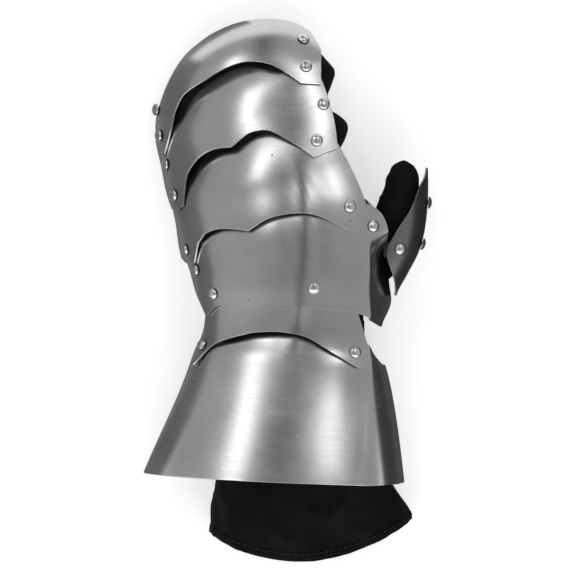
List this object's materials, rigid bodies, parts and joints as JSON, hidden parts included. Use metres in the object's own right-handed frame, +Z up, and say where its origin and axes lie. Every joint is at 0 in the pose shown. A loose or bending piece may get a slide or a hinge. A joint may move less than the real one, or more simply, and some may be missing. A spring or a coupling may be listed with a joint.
{
  "type": "clamshell gauntlet",
  "caption": "Left-hand clamshell gauntlet of riveted steel plates over a black glove, with hinged finger plates, thumb plate, sliding wrist band and flared bell cuff.",
  "frame": {"origin": "middle of the footprint at the plane the part lies on, palm down", "axes": "+Y from the sleeve towards the fingertips, +X towards the thumb, +Z up through the back of the hand"},
  "size_m": [0.188, 0.3532, 0.088],
  "materials": {
    "steel": "satin, brushed along the hand",
    "thumb_steel": "satin, a little darker",
    "rivet_steel": "polished dome",
    "strap_leather": "black oiled leather",
    "glove_cloth": "black suede-like cloth"
  },
  "bodies": {
    "cuff": {"bell_cuff": "steel", "glove_cuff": "glove_cloth"},
    "band": {"wrist_band": "steel", "wrist_left_rivet": "rivet_steel", "wrist_right_rivet": "rivet_steel", "glove_wrist": "glove_cloth"},
    "hand": {"hand_plate": "steel", "slide_left_rivet": "rivet_steel", "slide_right_rivet": "rivet_steel", "hand_side_rivet": "rivet_steel", "thumb_tab_rivet": "rivet_steel", "hand_strap": "strap_leather", "glove_hand": "glove_cloth"},
    "rear_fingers": {"rear_finger_plate": "steel", "rear_pivot_left_rivet": "rivet_steel", "rear_pivot_right_rivet": "rivet_steel", "glove_rear_fingers": "glove_cloth"},
    "middle_fingers": {"middle_finger_plate": "steel", "middle_pivot_left_rivet": "rivet_steel", "middle_pivot_right_rivet": "rivet_steel", "middle_strap_left_rivet": "rivet_steel", "middle_strap_right_rivet": "rivet_steel", "middle_finger_strap": "strap_leather", "glove_middle_fingers": "glove_cloth"},
    "fingertips": {"fingertip_plate": "steel", "tip_pivot_left_rivet": "rivet_steel", "tip_pivot_right_rivet": "rivet_steel", "tip_strap_left_rivet": "rivet_steel", "tip_strap_right_rivet": "rivet_steel", "fingertip_strap": "strap_leather", "glove_fingertips": "glove_cloth"},
    "thumb": {"thumb_plate": "thumb_steel", "thumb_hinge_rivet": "rivet_steel", "thumb_lower_rivet": "rivet_steel", "thumb_upper_rivet": "rivet_steel", "thumb_hinge_leather": "strap_leather", "thumb_strap": "strap_leather", "glove_thumb": "glove_cloth"}
  },
  "joints": [
    {"name": "wrist", "type": "hinge", "parent": "cuff", "child": "band", "pos_m": [-0.0063, -0.03917, 0.05122], "axis": [-0.9844, 0.0437, -0.1706], "range_deg": [-8, 14]},
    {"name": "hand_slide", "type": "slide", "parent": "band", "child": "hand", "axis": [-0.111, 0.9913, 0.07], "range_m": [-0.003, 0.003]},
    {"name": "knuckles", "type": "hinge", "parent": "hand", "child": "rear_fingers", "pos_m": [-0.01353, 0.03878, 0.04994], "axis": [-0.9352, -0.2398, -0.2606], "range_deg": [0, 14]},
    {"name": "middle_knuckles", "type": "hinge", "parent": "rear_fingers", "child": "middle_fingers", "pos_m": [-0.02791, 0.07789, 0.04772], "axis": [-0.9019, -0.3352, -0.2723], "range_deg": [0, 14]},
    {"name": "fingertip_knuckles", "type": "hinge", "parent": "middle_fingers", "child": "fingertips", "pos_m": [-0.03632, 0.12187, 0.03764], "axis": [-0.8812, -0.4009, -0.2505], "range_deg": [0, 14]},
    {"name": "thumb_hinge", "type": "hinge", "parent": "hand", "child": "thumb", "pos_m": [0.06356, 0.03282, 0.05094], "axis": [-0.2496, -0.9684, 0], "range_deg": [-5, 20]}
  ]
}
